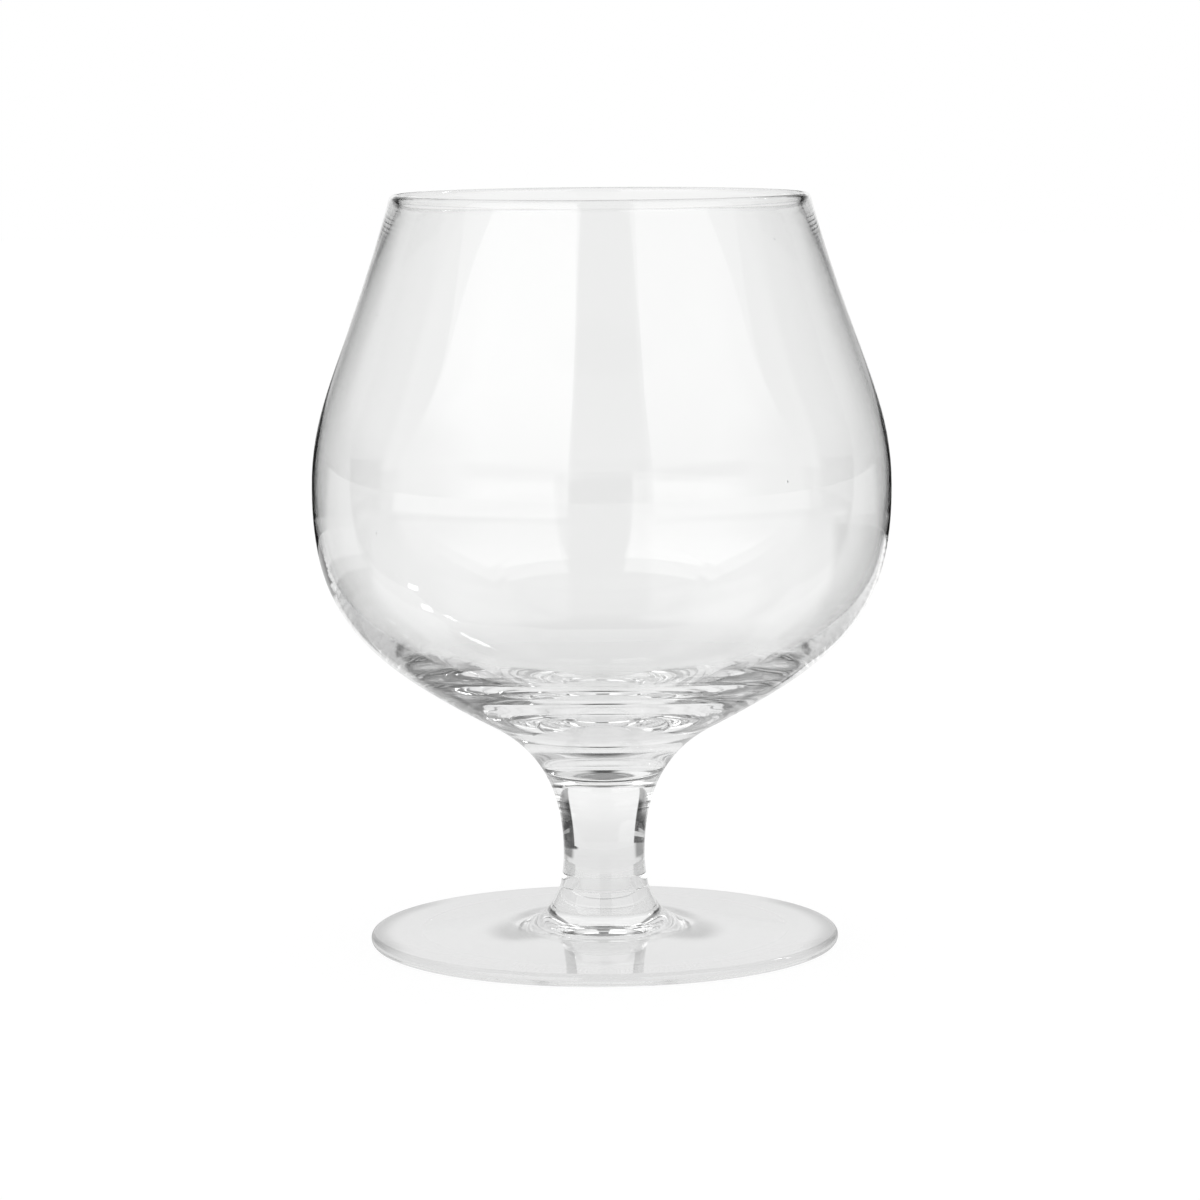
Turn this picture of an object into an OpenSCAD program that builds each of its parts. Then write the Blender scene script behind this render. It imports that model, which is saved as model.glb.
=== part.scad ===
// Brandy snifter in three pieces of clear glass, fused end to end:
// a blown bowl with a solid base, a short drawn stem, and a pressed foot with its hub.
// All three are bodies of revolution about Z. The foot rests on z = 0.

/* [Bowl] */
// Height of the whole glass, from the table to the top of the lip
glass_h = 130; // [118:1:144]
// Diameter over the rounded lip
lip_d = 72.2; // [64:0.2:80]
// How far the wall leans in at the lip, in degrees from upright
lip_lean = 15.8; // [10:0.2:22]
// Thickness of the fire-polished lip
lip_t = 1.7; // [1.2:0.1:2.2]
// Diameter of the belly, the widest place
belly_d = 100; // [92:0.5:110]
// Height of the belly above the table
belly_z = 79.8; // [74:0.2:86]
// Thickness of the blown wall at the belly, where it is thinnest
wall_t = 0.55; // [0.5:0.05:1.2]
// Thickness of the wall where the solid base begins
base_side_t = 2.2; // [1.6:0.1:3]
// Thickness of the solid base, from the stem up to the floor of the bowl
base_t = 13.2; // [11:0.1:14.5]

/* [Shoulder] */
// Radius where the cone of the bowl turns into the flare
shoulder_r = 19.7; // [17:0.1:22]
// Height of that turn above the table
shoulder_z = 38.5; // [36:0.1:41]
// Slope of the cone there, in degrees from upright
shoulder_lean = 62; // [56:0.5:66]

/* [Stem] */
// Diameter of the stem at its waist
waist_d = 14.1; // [12:0.1:15]
// Height of the waist above the table
waist_z = 15.6; // [14:0.1:17]
// Diameter of the fused ring between stem and foot
ring_d = 15.3; // [15:0.1:18]
// Height of that ring above the table
ring_z = 9.9; // [9:0.1:11]
// Slope of the stem just above the ring, in degrees from upright
ring_lean = 12; // [6:0.5:20]

/* [Foot] */
// Diameter of the foot
foot_d = 81.4; // [72:0.2:92]
// Thickness of the foot at its rounded edge
foot_edge_t = 2.2; // [1.6:0.1:2.8]
// Diameter at the lower end of the hub's collar
collar_d = 17.6; // [16.8:0.1:19.6]
// Height of the collar's lower end above the table
collar_z = 7.5; // [6.6:0.1:8.2]
// Diameter where the hub's hollow curve runs out into the disc
hub_d = 35; // [28:0.5:42]
// Thickness of the foot at that place
hub_t = 3.6; // [3:0.1:4.2]
// Diameter of the hollow under the foot
hollow_d = 64; // [52:0.5:70]
// Height of the hollow at its middle
hollow_h = 1.8; // [1:0.1:2.1]

/* [Hidden] */
$fn = 96;
// Straight steps along each curve of an outline
curve_steps = 18;
// Straight steps round the lip and the edge of the foot
edge_steps = 8;

// Reach of each curve's handles, as shares of the height between its two ends
lip_reach_share = 0.56;
belly_up_share = 0.3;
belly_down_share = 0.51;
shoulder_up_share = 0.63;
shoulder_down_share = 0.28;
waist_up_share = 0.63;
waist_down_share = 0.3;
ring_up_share = 0.35;
// How fast the wall thins below the lip, and how slowly it starts to thicken towards the base
lip_swell_power = 8;
base_swell_power = 1.6;
// Where along the lower wall the solid base begins
base_start_share = 0.7;
// Handles of the floor, as shares of the radius where the base begins
floor_side_share = 0.18;
floor_middle_share = 0.49;
// Where along the flare the stem is fused to the bowl
bowl_joint_share = 0.58;
// Handles of the hub's hollow curve, as shares of the radius that it covers
hub_collar_share = 0.32;
hub_run_out_share = 0.72;

lip_r = lip_t / 2;
lip_centre = [lip_d / 2 - lip_r, glass_h - lip_r];
upper_h = glass_h - belly_z;
lower_h = belly_z - shoulder_z;
flare_h = shoulder_z - waist_z;
taper_h = waist_z - ring_z;

// A unit vector that points up the wall, leaned by an angle from upright
function up(lean) = [-sin(lean), cos(lean)];
function down(lean) = -up(lean);

// A cubic curve through p[0] and p[3], pulled towards p[1] and p[2]
function point(p, t) = pow(1 - t, 3) * p[0] + 3 * pow(1 - t, 2) * t * p[1]
    + 3 * (1 - t) * pow(t, 2) * p[2] + pow(t, 3) * p[3];
function travel(p, t) = pow(1 - t, 2) * (p[1] - p[0]) + 2 * (1 - t) * t * (p[2] - p[1])
    + pow(t, 2) * (p[3] - p[2]);
// The side of a curve that faces the axis, for a curve that runs down the glass
function inward(p, t) = let (v = travel(p, t)) [v[1], -v[0]] / norm(v);
// Points along a curve from share a to share b, leaving out the first so that curves chain
function along(p, a, b, steps = curve_steps) =
    [for (i = [1:steps]) point(p, a + (b - a) * i / steps)];
// Points round an arc, with its first point but without its last
function arc(centre, r, from, to, steps = edge_steps) =
    [for (i = [0:steps - 1]) let (a = from + (to - from) * i / steps) centre + r * [cos(a), sin(a)]];

// Outside of the glass, in four curves from the lip down to the fused ring
lip_side = lip_centre + lip_r * [cos(lip_lean), sin(lip_lean)];
belly = [belly_d / 2, belly_z];
shoulder = [shoulder_r, shoulder_z];
waist = [waist_d / 2, waist_z];
ring = [ring_d / 2, ring_z];
upper_wall = [lip_side, lip_side + lip_reach_share * upper_h * down(lip_lean),
    belly + [0, belly_up_share * upper_h], belly];
lower_wall = [belly, belly - [0, belly_down_share * lower_h],
    shoulder - shoulder_up_share * lower_h * down(-shoulder_lean), shoulder];
flare = [shoulder, shoulder + shoulder_down_share * flare_h * down(-shoulder_lean),
    waist + [0, waist_up_share * flare_h], waist];
taper = [waist, waist - [0, waist_down_share * taper_h],
    ring + ring_up_share * taper_h * up(ring_lean), ring];

bowl_joint = point(flare, bowl_joint_share);
floor_z = bowl_joint[1] + base_t;

// Thickness of the upper wall: it thins from lip_t at the lip to wall_t at the belly
function upper_t(t) = wall_t + (lip_t - wall_t) * pow(1 - t, lip_swell_power);
// Thickness of the lower wall: it grows again from wall_t to base_side_t, where the solid base begins
function lower_t(t) = wall_t + (base_side_t - wall_t) * pow(t / base_start_share, base_swell_power);
function upper_inside(t) = point(upper_wall, t) + upper_t(t) * inward(upper_wall, t);
function lower_inside(t) = point(lower_wall, t) + lower_t(t) * inward(lower_wall, t);

// Floor of the bowl: it leaves the wall in the direction of the wall's last step, and ends level
base_side = lower_inside(base_start_share);
base_turn = base_side - lower_inside(base_start_share * (1 - 1 / curve_steps));
floor_curve = [base_side,
    base_side + floor_side_share * base_side[0] * base_turn / norm(base_turn),
    [floor_middle_share * base_side[0], floor_z], [0, floor_z]];

// Blown bowl: thin wall, swollen lip, and a wall that thickens into a solid base
module bowl() {
    outside = concat([lip_side], along(upper_wall, 0, 1), along(lower_wall, 0, 1),
        along(flare, 0, bowl_joint_share));
    inside = concat([for (i = [1:curve_steps]) upper_inside(i / curve_steps)],
        [for (i = [1:curve_steps]) lower_inside(base_start_share * i / curve_steps)],
        along(floor_curve, 0, 1));
    rim = concat(arc(lip_centre, lip_r, 180 + lip_lean, 90), arc(lip_centre, lip_r, 90, lip_lean));
    color([0.9, 0.93, 0.92])
    rotate_extrude()
    polygon(concat(rim, outside, [[0, bowl_joint[1]]],
        [for (i = [len(inside) - 1:-1:0]) inside[i]]));
}

// Solid stem: the flare carried on from the bowl, the waist, and the fused ring
module stem() {
    color([0.87, 0.91, 0.9])
    rotate_extrude()
    polygon(concat([[0, bowl_joint[1]], bowl_joint], along(flare, bowl_joint_share, 1),
        along(taper, 0, 1), [[0, ring_z]]));
}

// Foot: the hub's collar, its hollow curve, the thin disc with a round edge, a hollow underneath
module foot() {
    collar = [collar_d / 2, collar_z];
    collar_side = (collar - ring) / norm(collar - ring);
    edge_r = foot_edge_t / 2;
    edge_centre = [foot_d / 2 - edge_r, edge_r];
    run_out = [hub_d / 2, hub_t];
    disc_side = (edge_centre + [0, edge_r] - run_out) / norm(edge_centre + [0, edge_r] - run_out);
    span = run_out[0] - collar[0];
    hub = [collar, collar + hub_collar_share * span * collar_side,
        run_out - hub_run_out_share * span * disc_side, run_out];
    color([0.9, 0.93, 0.92])
    rotate_extrude()
    polygon(concat([[0, ring_z], ring, collar], along(hub, 0, 1),
        arc(edge_centre, edge_r, 90, 0), arc(edge_centre, edge_r, 0, -90), [edge_centre - [0, edge_r]],
        [for (i = [0:curve_steps]) let (x = 1 - i / curve_steps)
            [x * hollow_d / 2, hollow_h * (1 - pow(x, 2))]]));
}

bowl();
stem();
foot();
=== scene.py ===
# %% [markdown]
# # A brandy snifter in clear glass
# The glass is three pieces fused end to end while hot: a blown bowl, a short solid stem, and a
# pressed foot. All three are bodies of revolution. Clear glass has almost no look of its own:
# what we see is the room, bent by every surface and mirrored in it. So this lesson has two
# halves: exact surfaces first, and then the studio that they bend.

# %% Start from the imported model, which fixes every size
import bpy
import numpy as np
from mathutils import Matrix, Vector


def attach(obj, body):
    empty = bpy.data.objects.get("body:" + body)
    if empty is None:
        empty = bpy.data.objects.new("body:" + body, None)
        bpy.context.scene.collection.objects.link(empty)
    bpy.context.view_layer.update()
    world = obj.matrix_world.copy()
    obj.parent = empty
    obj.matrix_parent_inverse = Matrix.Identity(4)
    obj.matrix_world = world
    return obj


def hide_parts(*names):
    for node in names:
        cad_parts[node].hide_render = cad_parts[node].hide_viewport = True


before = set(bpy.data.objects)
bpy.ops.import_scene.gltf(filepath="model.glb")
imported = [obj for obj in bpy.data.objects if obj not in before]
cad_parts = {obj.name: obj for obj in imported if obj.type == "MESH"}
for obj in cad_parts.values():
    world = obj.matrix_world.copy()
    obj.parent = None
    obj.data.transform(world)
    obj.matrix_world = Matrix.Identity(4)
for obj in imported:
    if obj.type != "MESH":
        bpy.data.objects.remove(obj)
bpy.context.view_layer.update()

MM = 0.001


# %% [markdown]
# ## The camera
# A long lens from a little above the glass, as for a catalogue. Its place was worked out from
# the ellipses of the rim and the foot, and from the outline. We build its rotation ourselves:
# look from one point to another, then roll slightly, because the glass in the photograph leans.

# %% Look from one point to another, with a roll about the view line
CAMERA_PLACE = Vector((0, -767.3, 153.9)) * MM
CAMERA_AIM = Vector((-0.43, 0, 59.83)) * MM
CAMERA_ROLL_DEG = -0.4
LENS_MM = 133.95
SENSOR_MM = 36
PHOTO_PX = 1200


def add_object(name, data):
    """A new object in the scene, with this camera or mesh as its data."""
    obj = bpy.data.objects.new(name, data)
    bpy.context.scene.collection.objects.link(obj)
    return obj


def look_along(place, aim, roll_deg):
    """A camera's matrix: -Z runs from place to aim, and X is level before the roll."""
    level = (aim - place).to_track_quat("-Z", "Y").to_matrix().to_4x4()
    return Matrix.Translation(place) @ level @ Matrix.Rotation(np.radians(roll_deg), 4, "Z")


lens = bpy.data.cameras.new("studio_camera")
lens.lens, lens.sensor_width = LENS_MM, SENSOR_MM
camera = add_object("studio_camera", lens)
camera.matrix_world = look_along(CAMERA_PLACE, CAMERA_AIM, CAMERA_ROLL_DEG)
bpy.context.scene.camera = camera


def photo_pixel(point_mm):
    """Where a point falls in the photograph: in the camera's axes, divided by its depth."""
    x, y, z = camera.matrix_world.inverted() @ (Vector(point_mm) * MM)
    focal = LENS_MM / SENSOR_MM * PHOTO_PX
    return round(PHOTO_PX / 2 - focal * x / z, 1), round(PHOTO_PX / 2 + focal * y / z, 1)


LANDMARKS = {"front of the lip": (0, -36.1, 130), "back of the lip": (0, 36.1, 130),
             "axis at the belly": (0, 0, 80), "axis at the waist": (0, 0, 15.6),
             "axis at the foot": (0, 0, 0)}
for name, landmark in LANDMARKS.items():
    print("the", name, "falls on pixel", photo_pixel(landmark))

# %% [markdown]
# ## Curves for blown glass
# A blown wall has no straight lines and no arcs of circles. We draw it with cubic curves: each
# is a blend of four points, of which it touches the first and the last, and it leaves those
# two in the direction of the middle ones. Two neighbours that share a direction join smoothly.

# %% Cubic curves, and the direction towards the axis
def cubic(p, t):
    """The blend (1-t)^3 p0 + 3(1-t)^2 t p1 + 3(1-t) t^2 p2 + t^3 p3, for a whole array of t."""
    t = np.asarray(t, float)[:, None]
    p = np.asarray(p, float)
    return (1 - t)**3 * p[0] + 3 * (1 - t)**2 * t * p[1] + 3 * (1 - t) * t**2 * p[2] + t**3 * p[3]


def cubic_inward(p, t):
    """The curve's travel turned a quarter turn towards the axis, at length 1."""
    t = np.asarray(t, float)[:, None]
    p = np.asarray(p, float)
    travel = (1 - t)**2 * (p[1] - p[0]) + 2 * (1 - t) * t * (p[2] - p[1]) + t**2 * (p[3] - p[2])
    turned = np.stack([travel[:, 1], -travel[:, 0]], 1)
    return turned / np.linalg.norm(turned, axis=1)[:, None]


def moved_in(p, t, depth):
    """The curve moved towards the axis, by a depth for each t."""
    return cubic(p, t) + depth[:, None] * cubic_inward(p, t)


def leaned(degrees):
    """A unit step up the outline, leaned towards the axis by an angle from upright."""
    return np.array([-np.sin(np.radians(degrees)), np.cos(np.radians(degrees))])


def arc(centre, radius, start_deg, end_deg, steps):
    """Points round an arc: centre + radius (cos a, sin a), with a in even steps."""
    a = np.radians(np.linspace(start_deg, end_deg, steps))
    return centre + radius * np.stack([np.cos(a), np.sin(a)], 1)


# %% The outside of the glass, in millimetres: the CAD source's own sizes
GLASS_H, LIP_D, LIP_LEAN, LIP_T, BELLY_D, BELLY_Z = 130, 72.2, 15.8, 1.7, 100, 79.8
SHOULDER_R, SHOULDER_Z, SHOULDER_LEAN = 19.7, 38.5, 62
WAIST_D, WAIST_Z, RING_D, RING_Z, RING_LEAN = 14.1, 15.6, 15.3, 9.9, 12
BOWL_JOINT_SHARE = 0.58

# How far each curve's handles reach, as shares of the height between its two ends
LIP_REACH, BELLY_UP, BELLY_DOWN, SHOULDER_UP, SHOULDER_DOWN = 0.56, 0.3, 0.51, 0.63, 0.28
WAIST_UP, WAIST_DOWN, RING_UP = 0.63, 0.3, 0.35

upper_h, lower_h = GLASS_H - BELLY_Z, BELLY_Z - SHOULDER_Z
flare_h, taper_h = SHOULDER_Z - WAIST_Z, WAIST_Z - RING_Z
up = np.array([0, 1])
lip_r = LIP_T / 2
lip_centre = np.array([LIP_D / 2 - lip_r, GLASS_H - lip_r])
lip_side = lip_centre - lip_r * leaned(LIP_LEAN + 90)
belly, shoulder = np.array([BELLY_D / 2, BELLY_Z]), np.array([SHOULDER_R, SHOULDER_Z])
waist, ring = np.array([WAIST_D / 2, WAIST_Z]), np.array([RING_D / 2, RING_Z])

upper_wall = [lip_side, lip_side - LIP_REACH * upper_h * leaned(LIP_LEAN),
              belly + BELLY_UP * upper_h * up, belly]
lower_wall = [belly, belly - BELLY_DOWN * lower_h * up,
              shoulder + SHOULDER_UP * lower_h * leaned(-SHOULDER_LEAN), shoulder]
flare = [shoulder, shoulder - SHOULDER_DOWN * flare_h * leaned(-SHOULDER_LEAN),
         waist + WAIST_UP * flare_h * up, waist]
taper = [waist, waist - WAIST_DOWN * taper_h * up,
         ring + RING_UP * taper_h * leaned(RING_LEAN), ring]
joint_z = cubic(flare, [BOWL_JOINT_SHARE])[0, 1]
print("the bowl is fused to the stem at", round(joint_z, 2), "mm up")

# %% [markdown]
# ## Turning a profile
# Glass is shaped while it spins, so one profile and one turn make each piece. The surface is a
# function of two things: the place along the profile, and the angle. Both ends of the profile
# lie on the axis, and each end is one single point, so the skin is closed without a seam.

# %% Hot glass is never quite even
SPOKES = 288
# Each wave: how many go round the piece, its length in mm along the profile, and its share
UNEVENNESS = [(2, 61, 0.5), (3, 37, 0.3), (5, 23, 0.2), (8, 17, 0.1)]
angle = np.arange(SPOKES) * 2 * np.pi / SPOKES


def uneven(profile_mm, depth_mm):
    """The profile's r and z at every angle a, in rows of points and columns of angles.

    Each point moves along the profile's normal by depth times a sum of
    share sin(k a + 2 pi s / w), over waves of number k and length w, where s is the
    length travelled along the profile so far.
    """
    lengths = np.linalg.norm(np.diff(profile_mm, axis=0), axis=1)
    travelled = np.concatenate([[0], np.cumsum(lengths)])
    sway = sum(share * np.sin(k * angle + 2 * np.pi * travelled[:, None] / w)
               for k, w, share in UNEVENNESS)
    step = np.gradient(profile_mm, axis=0)
    normal = np.stack([step[:, 1], -step[:, 0]], 1) / np.linalg.norm(step, axis=1)[:, None]
    depth = np.broadcast_to(depth_mm, len(profile_mm))[:, None]
    move = (depth * sway)[:, :, None] * normal[:, None]
    return (profile_mm[:, None] + move).transpose(2, 0, 1)


# %% Revolve a profile
def revolved(name, profile_mm, depth_mm=0):
    """Each profile point (r, z) goes to (r cos a, r sin a, z) for every angle a, all at once.

    Between two rings of points lie quads, and between the last ring and its single end point
    lies a fan of triangles.
    """
    profile_mm = np.asarray(profile_mm, float)
    r, z = uneven(profile_mm, depth_mm) * MM
    rings = np.stack([r * np.cos(angle), r * np.sin(angle), z], 2)[1:-1].reshape(-1, 3)
    first_z, last_z = profile_mm[[0, -1], 1] * MM
    points = np.vstack([[0, 0, first_z], rings, [0, 0, last_z]])

    here = np.arange(SPOKES)
    there = (here + 1) % SPOKES
    row = 1 + np.arange(len(profile_mm) - 3)[:, None] * SPOKES
    last_row = 1 + (len(profile_mm) - 3) * SPOKES
    quads = np.stack([row + here, row + here + SPOKES, row + there + SPOKES, row + there], 2)
    first_fan = np.stack([np.zeros(SPOKES, int), 1 + here, 1 + there], 1)
    last_fan = np.stack([np.full(SPOKES, len(points) - 1), last_row + there, last_row + here], 1)

    mesh = bpy.data.meshes.new(name)
    faces = first_fan.tolist() + quads.reshape(-1, 4).tolist() + last_fan.tolist()
    mesh.from_pydata(points.tolist(), [], faces)
    print(name, len(points), "points,", len(mesh.polygons), "faces")
    return add_object(name, mesh)


# %% Measure a skin by the volume inside it
def signed_volume_cm3(obj):
    """A sixth of a . (b x c), over the corners of all triangles: positive if faces point out."""
    mesh = obj.data
    mesh.calc_loop_triangles()
    corners = np.zeros(len(mesh.loop_triangles) * 3, int)
    mesh.loop_triangles.foreach_get("vertices", corners)
    place = np.zeros(len(mesh.vertices) * 3)
    mesh.vertices.foreach_get("co", place)
    a, b, c = place.reshape(-1, 3)[corners.reshape(-1, 3)].transpose(1, 0, 2)
    return float(np.einsum("ij,ij->", a, np.cross(b, c)) / 6 / (10 * MM)**3)


# %% [markdown]
# ## The bowl
# The wall is blown: it is thinnest at the belly, where the bubble was largest, and it thickens
# up to the fire-polished lip and down to the solid base. So the inside isn't a second outline.
# It is the outside, moved inwards by a thickness that changes along the way, and below it a
# floor that leaves the wall smoothly and ends level on the axis.

# %% The inside of the bowl
WALL_T, BASE_SIDE_T, BASE_T, BASE_START_SHARE = 0.55, 2.2, 13.2, 0.7
FLOOR_SIDE_SHARE, FLOOR_MIDDLE_SHARE = 0.18, 0.49
LIP_SWELL_POWER, BASE_SWELL_POWER = 8, 1.6
# Points along each stretch; those of the upper wall crowd towards the lip, by a power
UPPER_POINTS, LOWER_POINTS, FLOOR_POINTS, LIP_CROWDING = 28, 84, 48, 1.5
# The floor leaves the wall in the direction of the wall's last few steps
TURN_STEPS = 5

upper_share = np.linspace(0, 1, UPPER_POINTS)**LIP_CROWDING
upper_t = WALL_T + (LIP_T - WALL_T) * (1 - upper_share)**LIP_SWELL_POWER
upper_inside = moved_in(upper_wall, upper_share, upper_t)
lower_share = np.linspace(0, BASE_START_SHARE, LOWER_POINTS)
lower_t = WALL_T + (BASE_SIDE_T - WALL_T) * (lower_share / BASE_START_SHARE)**BASE_SWELL_POWER
lower_inside = moved_in(lower_wall, lower_share, lower_t)
base_side, before = lower_inside[-1], lower_inside[-1 - TURN_STEPS]
base_turn = (base_side - before) / np.linalg.norm(base_side - before)
floor_z = joint_z + BASE_T
floor_inside = cubic([base_side, base_side + FLOOR_SIDE_SHARE * base_side[0] * base_turn,
                      [FLOOR_MIDDLE_SHARE * base_side[0], floor_z], [0, floor_z]],
                     np.linspace(0, 1, FLOOR_POINTS))
inside = np.vstack([floor_inside[::-1], lower_inside[::-1][1:], upper_inside[::-1][1:]])
print("wall, lip and base in mm:", WALL_T, LIP_T, BASE_T)

# %% The bowl's profile: the inside, round the lip, and down the outside to the joint
LIP_POINTS, OUTER_LOWER_POINTS, OUTER_FLARE_POINTS = 16, 112, 16

lip = arc(lip_centre, lip_r, 180 + LIP_LEAN, LIP_LEAN, LIP_POINTS)[1:-1]
outside = np.vstack([cubic(upper_wall, upper_share),
                     cubic(lower_wall, np.linspace(0, 1, OUTER_LOWER_POINTS))[1:],
                     cubic(flare, np.linspace(0, BOWL_JOINT_SHARE, OUTER_FLARE_POINTS))[1:]])
bowl_profile = np.vstack([inside, lip, outside, [0, joint_z]])
print("the bowl's profile has", len(bowl_profile), "points")

# %% Faint rings on the bowl's floor, from the turning tool, and an inside that is uneven
RING_DEPTH, RING_PITCH, RING_FADE_IN, RING_FADE_OUT = 0.008, 3.6, 3, 6
SWAY_DEPTH, SWAY_FADE_POINTS = 0.02, 12

from_axis = bowl_profile[:FLOOR_POINTS, 0]
from_side = base_side[0] - from_axis
ring_fade = np.clip(from_axis / RING_FADE_IN, 0, 1) * np.clip(from_side / RING_FADE_OUT, 0, 1)
floor_rings = RING_DEPTH * ring_fade * np.sin(2 * np.pi * from_axis / RING_PITCH)
bowl_profile[:FLOOR_POINTS, 1] += floor_rings

bowl_depth = np.zeros(len(bowl_profile))
bowl_depth[:len(inside)] = SWAY_DEPTH
bowl_depth[:SWAY_FADE_POINTS] *= np.linspace(0, 1, SWAY_FADE_POINTS)
bowl_depth[len(inside) - SWAY_FADE_POINTS:len(inside)] *= np.linspace(1, 0, SWAY_FADE_POINTS)
print("rings on the floor in mm:", round(float(np.ptp(floor_rings)), 4), "from trough to crest")

# %% [markdown]
# ## The stem and the foot
# The stem is drawn out of the bowl's base as a solid rod with a waist, and ends in a faint ring
# where it was fused to the foot. The foot is pressed: a hub with a collar takes the stem, a
# hollow curve runs out into a thin disc with a round edge, and a shallow hollow underneath
# leaves only a ring to rest on, so that the glass doesn't rock.

# %% The stem's profile
FLARE_POINTS, TAPER_POINTS = 60, 40
stem_profile = np.vstack([[0, joint_z],
                          cubic(flare, np.linspace(BOWL_JOINT_SHARE, 1, FLARE_POINTS)),
                          cubic(taper, np.linspace(0, 1, TAPER_POINTS))[1:], [0, RING_Z]])
print("the stem is", round(joint_z - RING_Z, 2), "mm long")

# %% The foot's profile
FOOT_D, FOOT_EDGE_T, COLLAR_D, COLLAR_Z = 81.4, 2.2, 17.6, 7.5
HUB_D, HUB_T, HOLLOW_D, HOLLOW_H = 35, 3.6, 64, 1.8
# How far the hub curve's handles reach, as shares of the radius that it covers
HUB_COLLAR_REACH, HUB_RUN_OUT_REACH = 0.32, 0.72
COLLAR_POINTS, HUB_POINTS, DISC_POINTS, EDGE_POINTS, HOLLOW_POINTS = 12, 50, 30, 30, 60

collar, run_out = np.array([COLLAR_D / 2, COLLAR_Z]), np.array([HUB_D / 2, HUB_T])
edge_r = FOOT_EDGE_T / 2
edge_centre = np.array([FOOT_D / 2 - edge_r, edge_r])
edge_top = edge_centre + edge_r * up
collar_side = (collar - ring) / np.linalg.norm(collar - ring)
disc_side = (edge_top - run_out) / np.linalg.norm(edge_top - run_out)
span = run_out[0] - collar[0]
hub = [collar, collar + HUB_COLLAR_REACH * span * collar_side,
       run_out - HUB_RUN_OUT_REACH * span * disc_side, run_out]
disc = run_out + np.linspace(0, 1, DISC_POINTS)[1:-1, None] * (edge_top - run_out)
hollow_share = np.linspace(1, 0, HOLLOW_POINTS)
hollow = np.stack([hollow_share * HOLLOW_D / 2, HOLLOW_H * (1 - hollow_share**2)], 1)
foot_profile = np.vstack([[0, RING_Z], np.linspace(ring, collar, COLLAR_POINTS),
                          cubic(hub, np.linspace(0, 1, HUB_POINTS))[1:], disc,
                          arc(edge_centre, edge_r, 90, -90, EDGE_POINTS), hollow])
print("the foot rests on a ring", round((FOOT_D - FOOT_EDGE_T - HOLLOW_D) / 2, 2), "mm wide")

# %% [markdown]
# ## The glass itself
# Polished glass has no colour, grain or gloss of its own to paint: it bends light by its index,
# 1.5, and it takes a trace of red and blue out of long paths. What it does have are small
# marks. Cords are faint streaks that the melt leaves along the turn. Seeds are bubbles smaller
# than a pinhead. And the ring that the foot rests on is dulled by tables and trays.

# %% Short ways to make nodes and materials
def node_maker(tree):
    """A way to add nodes: an input is a number or a socket, and the first output comes back."""
    def put(kind, *inputs, **settings):
        made = tree.nodes.new(kind)
        for key, value in settings.items():
            setattr(made, key, value)
        for socket, value in zip([s for s in made.inputs if s.enabled], inputs):
            if isinstance(value, bpy.types.NodeSocket):
                tree.links.new(value, socket)
            elif value is not None:
                socket.default_value = value
        return made.outputs[0]
    return put


def new_material(name):
    """A material with nodes, its tree, and the short way to add nodes to it."""
    material = bpy.data.materials.new(name)
    material.use_nodes = True
    return material, material.node_tree, node_maker(material.node_tree)


def coordinates(put, kind):
    """Where a point lies: its place for Object, its direction in the world for Generated."""
    return put("ShaderNodeTexCoord").node.outputs[kind]


def axes_of(put, vector):
    """The X, Y and Z of a vector, by name."""
    return put("ShaderNodeSeparateXYZ", vector).node.outputs


# %% Arithmetic with nodes: angles, soft steps, windows and layers
def math(put, operation, a, b=None):
    """One step of arithmetic, on numbers or sockets."""
    return put("ShaderNodeMath", a, b, operation=operation)


def azimuth_of(put, axes):
    """The angle round the glass in degrees: 0 straight behind it, 180 at the camera."""
    return math(put, "MULTIPLY", math(put, "ARCTAN2", axes["X"], axes["Y"]), 180 / np.pi)


def rise(put, value, low, high):
    """0 below low, 1 above high, and a smooth step between."""
    return put("ShaderNodeMapRange", value, low, high, 0.0, 1.0, interpolation_type="SMOOTHSTEP")


def fall(put, value, low, high):
    """1 below low, 0 above high, and a smooth step between."""
    return math(put, "SUBTRACT", 1.0, rise(put, value, low, high))


def window(put, value, low, high, soft):
    """1 between low and high and 0 outside, with soft borders: a rise times a fall."""
    return math(put, "MULTIPLY", rise(put, value, low - soft, low + soft),
                fall(put, value, high - soft, high + soft))


def over(put, below, level, mask):
    """Lay a level over what is below, as far as the mask lets it."""
    lifted = math(put, "SUBTRACT", level, below)
    return math(put, "ADD", below, math(put, "MULTIPLY", lifted, mask))


# %% Clear glass
GLASS_INDEX, GLASS_TINT = 1.5, (0.99, 0.992, 0.99, 1)

glass, tree, put = new_material("polished_glass")
shader = tree.nodes["Principled BSDF"]
shader.inputs["Base Color"].default_value = GLASS_TINT
shader.inputs["IOR"].default_value = GLASS_INDEX
shader.inputs["Transmission Weight"].default_value = 1.0
on_glass = coordinates(put, "Object")
print("the glass bends light by", GLASS_INDEX)

# %% Cords and seeds, as a height that bends the light a little
# Cords: ripples per metre along X, Y and Z, so they are long round the glass and short up it
CORD_RIPPLES, CORD_HEIGHT_MM = (40, 40, 260), 0.004
# Seeds: cells per metre, and how far from its cell's middle a seed starts and ends, in cells
SEED_CELLS, SEED_CORE, SEED_END, SEED_HEIGHT_MM = 75.0, 0.008, 0.022, 0.05

drawn_out = put("ShaderNodeVectorMath", on_glass, CORD_RIPPLES, operation="MULTIPLY")
cords = put("ShaderNodeTexNoise", drawn_out, 1.0, 1.0)
seeds = fall(put, put("ShaderNodeTexVoronoi", on_glass, SEED_CELLS), SEED_CORE, SEED_END)
dents = math(put, "ADD", math(put, "MULTIPLY", cords, CORD_HEIGHT_MM),
             math(put, "MULTIPLY", seeds, SEED_HEIGHT_MM))
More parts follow.
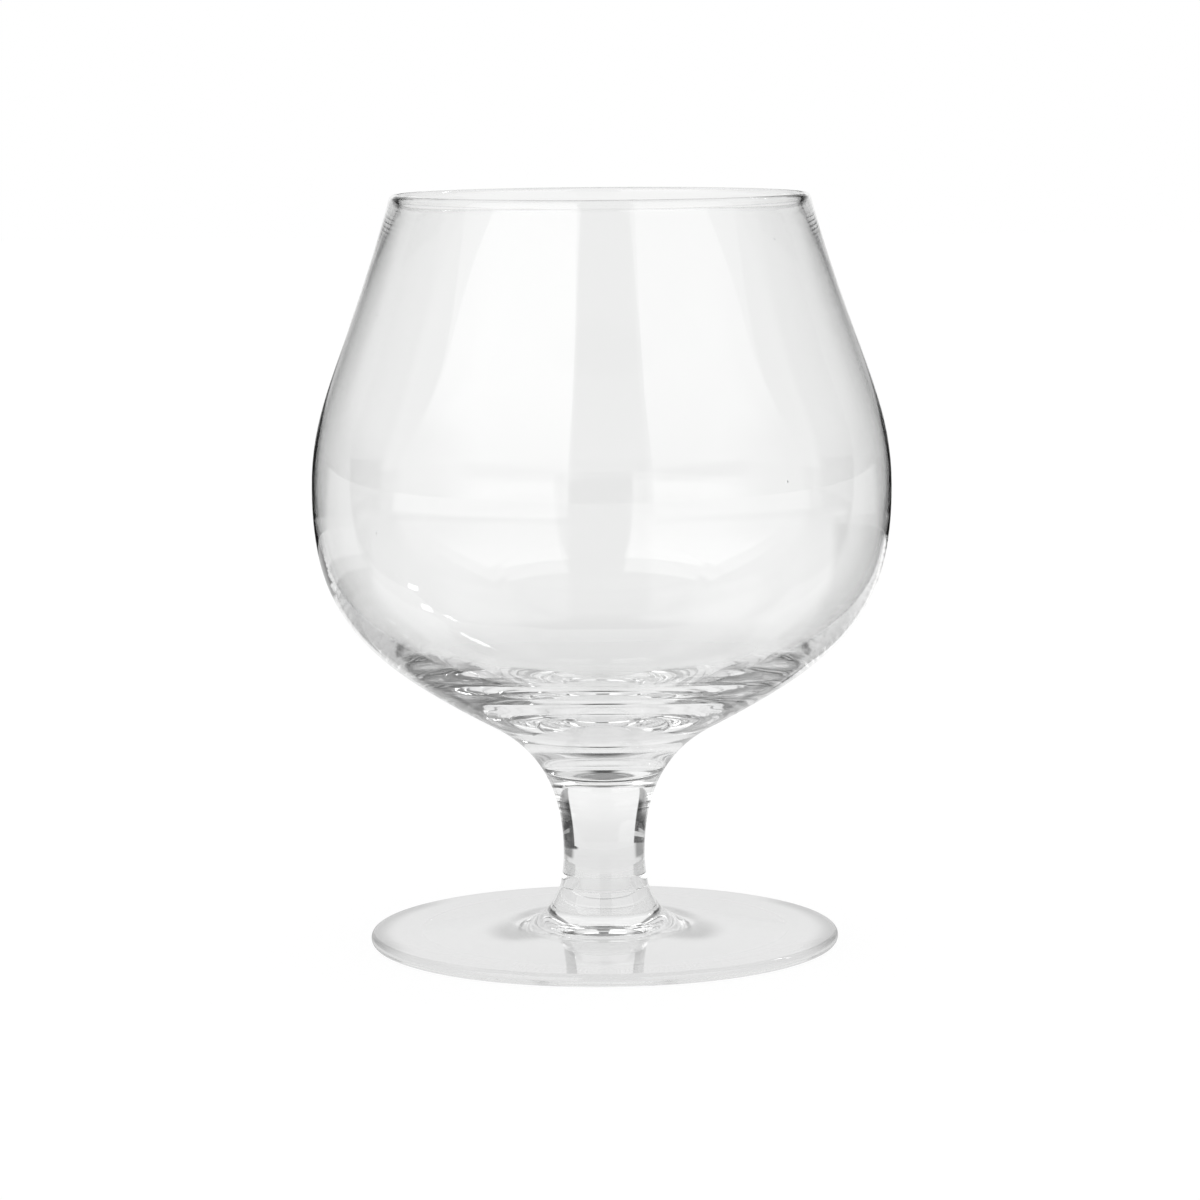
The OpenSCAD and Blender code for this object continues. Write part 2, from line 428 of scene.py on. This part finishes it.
# The dents are in millimetres, and the bump's distance makes them so
bump = tree.nodes.new("ShaderNodeBump")
bump.inputs["Strength"].default_value = 1.0
bump.inputs["Distance"].default_value = MM
tree.links.new(dents, bump.inputs["Height"])
tree.links.new(bump.outputs[0], shader.inputs["Normal"])
print("a seed is about", round(2 * SEED_END / SEED_CELLS / MM, 2), "mm across")

# %% A worn resting ring, and clear faces where two pieces are fused
# Scuffs: ripples per metre, how fine they branch, and the noise at which they start and are full
SCUFF_RIPPLES, SCUFF_DETAIL, SCUFF_LOW, SCUFF_HIGH = 900.0, 3.0, 0.45, 0.6
WORN_FULL_MM, WORN_END_MM, WORN_ROUGHNESS = 0.05, 0.25, 0.08

near_table = fall(put, axes_of(put, on_glass)["Z"], WORN_FULL_MM * MM, WORN_END_MM * MM)
grain = put("ShaderNodeTexNoise", on_glass, SCUFF_RIPPLES, SCUFF_DETAIL)
scuffs = rise(put, grain, SCUFF_LOW, SCUFF_HIGH)
worn = math(put, "MULTIPLY", near_table, math(put, "MULTIPLY", scuffs, WORN_ROUGHNESS))
tree.links.new(worn, shader.inputs["Roughness"])

fused = new_material("fused_joint")[0]
fused.node_tree.nodes["Principled BSDF"].inputs["Alpha"].default_value = 0.0

# %% Make the three pieces
LEVEL_NORMAL, JOINT_TOLERANCE_MM = 0.999999, 1e-4


def finish_glass(piece, node):
    """Smooth faces of polished glass, but flat and clear ones where two pieces are fused."""
    mesh = piece.data
    mesh.materials.append(glass)
    mesh.materials.append(fused)
    centre, normal = np.zeros(len(mesh.polygons) * 3), np.zeros(len(mesh.polygons) * 3)
    mesh.polygons.foreach_get("center", centre)
    mesh.polygons.foreach_get("normal", normal)
    z = centre.reshape(-1, 3)[:, 2] / MM
    level = abs(normal.reshape(-1, 3)[:, 2]) > LEVEL_NORMAL
    at_joint = level & (np.minimum(abs(z - joint_z), abs(z - RING_Z)) < JOINT_TOLERANCE_MM)
    mesh.polygons.foreach_set("material_index", at_joint.astype(int))
    mesh.polygons.foreach_set("use_smooth", ~at_joint)
    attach(piece, "root")
    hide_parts(node)
    print(node, "is", round(signed_volume_cm3(piece), 2), "cm3 of glass, with",
          int(at_joint.sum()), "joint faces")


finish_glass(revolved("blown_bowl", bowl_profile, bowl_depth), "bowl")
finish_glass(revolved("drawn_stem", stem_profile), "stem")
finish_glass(revolved("pressed_foot", foot_profile), "foot")

# %% [markdown]
# ## The room that the glass bends
# Photographers light clear glass from behind. A pale backdrop shines through it, and the dark
# room past the backdrop's edges is bent into the glass's own edges, which draws the thin dark
# line round it. Two tall softboxes beside the camera are mirrored in the bowl, and between them
# stands the camera in the dark. We paint this room on the world, by direction: the azimuth is 0
# straight behind the glass and 180 at the camera, and the elevation is 0 at the horizon. The
# directions were traced back from the photograph: a ray from the camera, mirrored at the wall.

# %% Lay lights over one another
def lights_over(put, below, side_azimuth, second, lights):
    """Lay every light over what is below: a window in azimuth times a window in the second measure.

    A light is (azimuth from, to, second from, to, softness of each, level).
    """
    for az_low, az_high, low, high, az_soft, soft, level in lights.values():
        mask = math(put, "MULTIPLY", window(put, side_azimuth, az_low, az_high, az_soft),
                    window(put, second, low, high, soft))
        below = over(put, below, level, mask)
    return below


# %% The room by direction
world = bpy.data.worlds.new("studio_room")
bpy.context.scene.world = world
world.use_nodes = True
room = world.node_tree
put = node_maker(room)

towards = axes_of(put, coordinates(put, "Generated"))
side_azimuth = azimuth_of(put, towards)
elevation = math(put, "MULTIPLY", math(put, "ARCSINE", towards["Z"]), 180 / np.pi)

# %% The walls, the ceiling and the camera
DARK_LEVEL = 0.03
ROOM_LIGHTS = {
    "gap on the left": (-84, -46, 9, 44, 6, 5, 0.35),
    "gap on the right": (46, 84, 9, 44, 6, 5, 0.2),
    "just above the backdrop": (-22, 22, 0, 17, 4, 1, 0.5),
    "above the backdrop": (-46, 46, 17, 44, 5, 3, 0.35),
    "ceiling over the left": (-84, -14, 44, 66, 8, 5, 0.95),
    "ceiling over the right": (14, 84, 44, 66, 8, 5, 0.65),
    "wall on the left": (-200, -84, -5, 54, 3, 2, 0.6),
    "wall on the right": (84, 200, -5, 54, 3, 2, 0.5),
    "over the left softbox": (-200, -84, 54, 70, 3, 2, 0.3),
    "over the right softbox": (84, 200, 54, 70, 3, 2, 0.15),
    "top": (-200, 200, 70, 100, 5, 4, 0.3),
    "camera, right": (162, 200, -5, 60, 1, 3, 0.15),
    "camera, left": (-200, -168, -5, 60, 1, 3, 0.15),
}
light = lights_over(put, DARK_LEVEL, side_azimuth, elevation, ROOM_LIGHTS)

# %% The softboxes: upright panels that lean out at the top, dimmer in the low outer corner
SOFTBOX_LOW, SOFTBOX_HIGH, FRAME_SOFT = -7, 53, 0.5
# The outer edge's azimuth at the horizon, its lean in degrees per degree of height, its softness
OUTER_AZIMUTH, LEAN_SHARE, OUTER_SOFT = 89.25, 0.45, 0.75
# The corner is darkest up to the first azimuth and elevation, and ends at the second
CORNER_AZIMUTHS, CORNER_ELEVATIONS, CORNER_LOSS = (104, 135), (14, 30), 0.5
TOP_ELEVATIONS, TOP_GAIN = (15, 45), 0.35
# Azimuth from, to, and level
SOFTBOXES = ((-167, -80, 1.48), (80, 160, 1.14))

either_azimuth = math(put, "ABSOLUTE", side_azimuth)
leaned_azimuth = math(put, "SUBTRACT", either_azimuth, math(put, "MULTIPLY", elevation, LEAN_SHARE))
outer_edge = rise(put, leaned_azimuth, OUTER_AZIMUTH - OUTER_SOFT, OUTER_AZIMUTH + OUTER_SOFT)
upright = math(put, "MULTIPLY", outer_edge,
               window(put, elevation, SOFTBOX_LOW, SOFTBOX_HIGH, FRAME_SOFT))
low_corner = math(put, "MULTIPLY", fall(put, either_azimuth, *CORNER_AZIMUTHS),
                  fall(put, elevation, *CORNER_ELEVATIONS))
high_part = rise(put, elevation, *TOP_ELEVATIONS)
cloth = math(put, "SUBTRACT", 1.0, math(put, "MULTIPLY", low_corner, CORNER_LOSS))
cloth = math(put, "ADD", cloth, math(put, "MULTIPLY", high_part, TOP_GAIN))
for az_low, az_high, level in SOFTBOXES:
    panel = math(put, "MULTIPLY", upright, window(put, side_azimuth, az_low, az_high, FRAME_SOFT))
    light = over(put, light, math(put, "MULTIPLY", cloth, level), panel)

# %% A crossbar in each softbox, and two small lamps
SMALL_LIGHTS = {
    "crossbar, left": (-167, -118, 6.5, 12, 8, 1.8, 1.1),
    "crossbar, right": (118, 160, 6.5, 12, 8, 1.8, 0.6),
    "near lamp": (52.5, 57, 34.5, 38, 0.5, 0.5, 9),
    "far lamp": (31, 35, 39.7, 42.7, 0.5, 0.5, 9),
}
light = lights_over(put, light, side_azimuth, elevation, SMALL_LIGHTS)
print("lights in the room:", len(ROOM_LIGHTS) + len(SOFTBOXES) + len(SMALL_LIGHTS))

# %% Who sees the room: the glass sees its lights, the floor an even grey, and the camera white
ROOM_ON_FLOOR = 0.8


def rays_of(put):
    """What kind of ray asks for the light, and whether it comes through glass or off it."""
    rays = put("ShaderNodeLightPath").node.outputs
    return rays, math(put, "MAXIMUM", rays["Is Transmission Ray"], rays["Is Glossy Ray"])


rays, by_glass = rays_of(put)
seen = over(put, ROOM_ON_FLOOR, light, by_glass)
seen = over(put, seen, 1.0, rays["Is Camera Ray"])
background = room.nodes["Background"]
room.links.new(seen, background.inputs["Strength"])
background.inputs["Color"].default_value = (1, 1, 1, 1)

# %% [markdown]
# ## The backdrop
# The backdrop stands close behind the glass: the bowl's edge already bends the dark past it,
# while the narrow stem, farther inside, still shows only the backdrop. Its borders are soft.
# It shines only for rays that come through glass or off it, and throws no shadow.

# %% The backdrop's sheet
BACKDROP_Y, BACKDROP_HALF, BACKDROP_LOW, BACKDROP_HIGH, BACKDROP_SOFT = 105, 68, 0, 150, 3
outer_half, inner_half = BACKDROP_HALF + BACKDROP_SOFT, BACKDROP_HALF - BACKDROP_SOFT


def flat_sheet(name, corners_mm):
    """One flat face for the studio, through four corners."""
    mesh = bpy.data.meshes.new(name)
    mesh.from_pydata((np.array(corners_mm) * MM).tolist(), [], [[0, 1, 2, 3]])
    return add_object(name, mesh)


backdrop = flat_sheet("pale_backdrop", [(-outer_half, BACKDROP_Y, BACKDROP_LOW),
                                        (outer_half, BACKDROP_Y, BACKDROP_LOW),
                                        (outer_half, BACKDROP_Y, BACKDROP_HIGH),
                                        (-outer_half, BACKDROP_Y, BACKDROP_HIGH)])
backdrop.visible_camera = backdrop.visible_diffuse = backdrop.visible_shadow = False
print("the backdrop is", 2 * BACKDROP_HALF, "mm wide and", BACKDROP_Y, "mm behind the glass's axis")

# %% Lit paper: painted shade makes it dimmer towards the table; it has soft sides and a top edge that dips in the middle
PAPER_LEVEL, PAPER_PAINTED_SHADE_LEVEL, PAPER_LOW_MM = 0.93, 0.8, 45
TOP_DIP_MM, DIP_FROM_MM, DIP_TO_MM = 12, 20, 60

paper, tree, put = new_material("lit_paper")
tree.nodes.clear()
paper_axes = axes_of(put, coordinates(put, "Object"))
off_centre = math(put, "ABSOLUTE", paper_axes["X"])
border = fall(put, off_centre, inner_half * MM, outer_half * MM)
near_middle = fall(put, off_centre, DIP_FROM_MM * MM, DIP_TO_MM * MM)
dip = math(put, "MULTIPLY", near_middle, TOP_DIP_MM * MM)
under_top = math(put, "LESS_THAN", math(put, "ADD", paper_axes["Z"], dip), BACKDROP_HIGH * MM)
border = math(put, "MULTIPLY", border, under_top)
# Painted shade: the paper's glow dims towards the table
upwards = rise(put, paper_axes["Z"], 0.0, PAPER_LOW_MM * MM)
glow = tree.nodes.new("ShaderNodeEmission")
tree.links.new(over(put, PAPER_PAINTED_SHADE_LEVEL, PAPER_LEVEL, upwards), glow.inputs["Strength"])
mix = put("ShaderNodeMixShader", border, put("ShaderNodeBsdfTransparent"), glow.outputs[0])
tree.links.new(mix, tree.nodes.new("ShaderNodeOutputMaterial").inputs["Surface"])
paper.cycles.emission_sampling = "NONE"
backdrop.data.materials.append(paper)

# %% [markdown]
# ## The table
# The glass stands on a white table, and sees the studio low down in it: the white top, its dark
# edge, the low parts of the softboxes and the dark floor far behind. We paint these on one flat
# floor by azimuth and by distance, for the rays of the glass alone, with painted shadows beside
# the foot and under the hub. The camera sees plain white and the glass's own soft shadow, which
# the floor's own colour keeps.

# %% The floor
FLOOR_HALF = 3000
floor = flat_sheet("studio_floor", [(-FLOOR_HALF, -FLOOR_HALF, 0), (FLOOR_HALF, -FLOOR_HALF, 0),
                                    (FLOOR_HALF, FLOOR_HALF, 0), (-FLOOR_HALF, FLOOR_HALF, 0)])

# %% The table's own colour, and where each place of it lies from the glass
FLOOR_GREY, FLOOR_ROUGHNESS = 0.12, 0.9

white, tree, put = new_material("white_table")
table = tree.nodes["Principled BSDF"]
table.inputs["Base Color"].default_value = (FLOOR_GREY, FLOOR_GREY, FLOOR_GREY, 1)
table.inputs["Roughness"].default_value = FLOOR_ROUGHNESS
table.inputs["Specular IOR Level"].default_value = 0.0
table.inputs["Emission Color"].default_value = (1, 1, 1, 1)
table_axes = axes_of(put, coordinates(put, "Object"))
side_azimuth = azimuth_of(put, table_axes)
squares = math(put, "ADD", math(put, "POWER", table_axes["X"], 2.0),
               math(put, "POWER", table_axes["Y"], 2.0))
distance = math(put, "MULTIPLY", math(put, "SQRT", squares), 1 / MM)

# %% What the glass sees on the table, by azimuth in degrees and distance in millimetres
TABLE_LEVEL = 0.78
TABLE_LIGHTS = {
    "front, left": (-200, -97, 55, 590, 5, 5, 0.95),
    "front, right": (97, 200, 55, 590, 5, 5, 0.95),
    "past the table on the left": (-86, -68, 650, 9000, 3, 15, 0.4),
    "past the table on the right": (68, 86, 650, 9000, 3, 15, 0.35),
    "behind, far out, left": (-72, -38, 500, 9000, 4, 15, 0.42),
    "behind, far out, right": (38, 72, 500, 9000, 4, 15, 0.35),
    "behind": (-44, 44, 500, 9000, 4, 15, 0.02),
    # Painted shadows on the table, seen only by the glass: darker beside the foot's edge and under
    # the hub, where the glass bends light away from the table
    "painted shadow beside the foot, left": (-115, -50, 38, 60, 8, 2, 0.5),
    "painted shadow beside the foot, right": (50, 115, 38, 60, 8, 2, 0.5),
    "painted shadow under the hub, left": (-120, -25, 12, 19.5, 12, 2.5, 0.4),
    "painted shadow under the hub, right": (25, 120, 12, 19.5, 12, 2.5, 0.4),
}
glow = lights_over(put, TABLE_LEVEL, side_azimuth, distance, TABLE_LIGHTS)
print("places painted on the table:", len(TABLE_LIGHTS))

# %% [markdown]
# ### Flags
# A photographer darkens the edges of clear glass with flags: black cards close beside it. Here
# there are no cards: the flags are dark patches painted on the floor's glow, as painted shade,
# and the low ends and frames of the softboxes and the camera's dark are painted reflections in
# it. Seen straight through the bowl they would look like stains, so only light that has crossed
# one piece of glass, in and out again, meets them: what has crossed both walls sees the bare table.

# %% Painted shade for the flags, and painted reflections of the softboxes' low ends, on the floor
PAINTED_FLAGS_AND_REFLECTIONS = {
    "frame on the left": (-167, -92, 610, 700, 1, 12, 0.5),
    "frame on the right": (92, 160, 610, 700, 1, 12, 0.5),
    "softbox low on the left": (-167, -92, 700, 9000, 1, 8, 1.35),
    "softbox low on the right": (92, 160, 700, 9000, 1, 8, 1.05),
    "camera, right": (163, 200, 90, 9000, 2, 10, 0.6),
    "camera, left": (-200, -168, 90, 9000, 2, 10, 0.6),
    "wing, near, left": (-82, -36, 62, 150, 5, 6, 0.3),
    "wing, near, right": (36, 82, 62, 150, 5, 6, 0.25),
    "wing, left": (-80, -30, 145, 250, 4, 6, 0.05),
    "wing, left, outer end": (-80, -30, 250, 500, 4, 6, 0.6),
    "wing, right": (28, 80, 106, 500, 3, 6, 0.05),
}
painted_flags_and_reflections = lights_over(put, glow, side_azimuth, distance, PAINTED_FLAGS_AND_REFLECTIONS)
print("flags and low ends:", len(PAINTED_FLAGS_AND_REFLECTIONS))

# %% Who sees the table's light
# The floor's own grey, lit by the room, already gives the glass this much of each level
DIFFUSE_SHARE = 0.1
# The camera's floor: what the grey adds to this is clipped to white, but not in the shadow
CAMERA_SHARE = 0.92
# Light that has crossed one piece has been bent twice, going in and coming out
ONE_PIECE_BENDS = 2

rays, by_glass = rays_of(put)
# Light that has crossed one piece sees the painted flags and reflections; the rest sees the table's
# glow
one_piece = math(put, "LESS_THAN", rays["Transmission Depth"], ONE_PIECE_BENDS + 0.5)
glow = math(put, "SUBTRACT", over(put, glow, painted_flags_and_reflections, one_piece), DIFFUSE_SHARE)
glow = math(put, "MULTIPLY", glow, by_glass)
glow = over(put, glow, CAMERA_SHARE, rays["Is Camera Ray"])
tree.links.new(glow, table.inputs["Emission Strength"])
white.cycles.emission_sampling = "NONE"
floor.data.materials.append(white)

# %% [markdown]
# ## Enough bounces, and plain colours
# Light that is caught in a thick glass base is mirrored inside it dozens of times before it
# leaves. With few bounces it would come out black, so we allow many. The Standard view shows
# each level as it is written.

# %% The view and the bounces
BOUNCES = 64
scene = bpy.context.scene
scene.view_settings.view_transform = "Standard"
scene.cycles.max_bounces = BOUNCES
scene.cycles.transmission_bounces = BOUNCES
scene.cycles.glossy_bounces = BOUNCES
scene.cycles.transparent_max_bounces = BOUNCES
print("bounces:", BOUNCES)
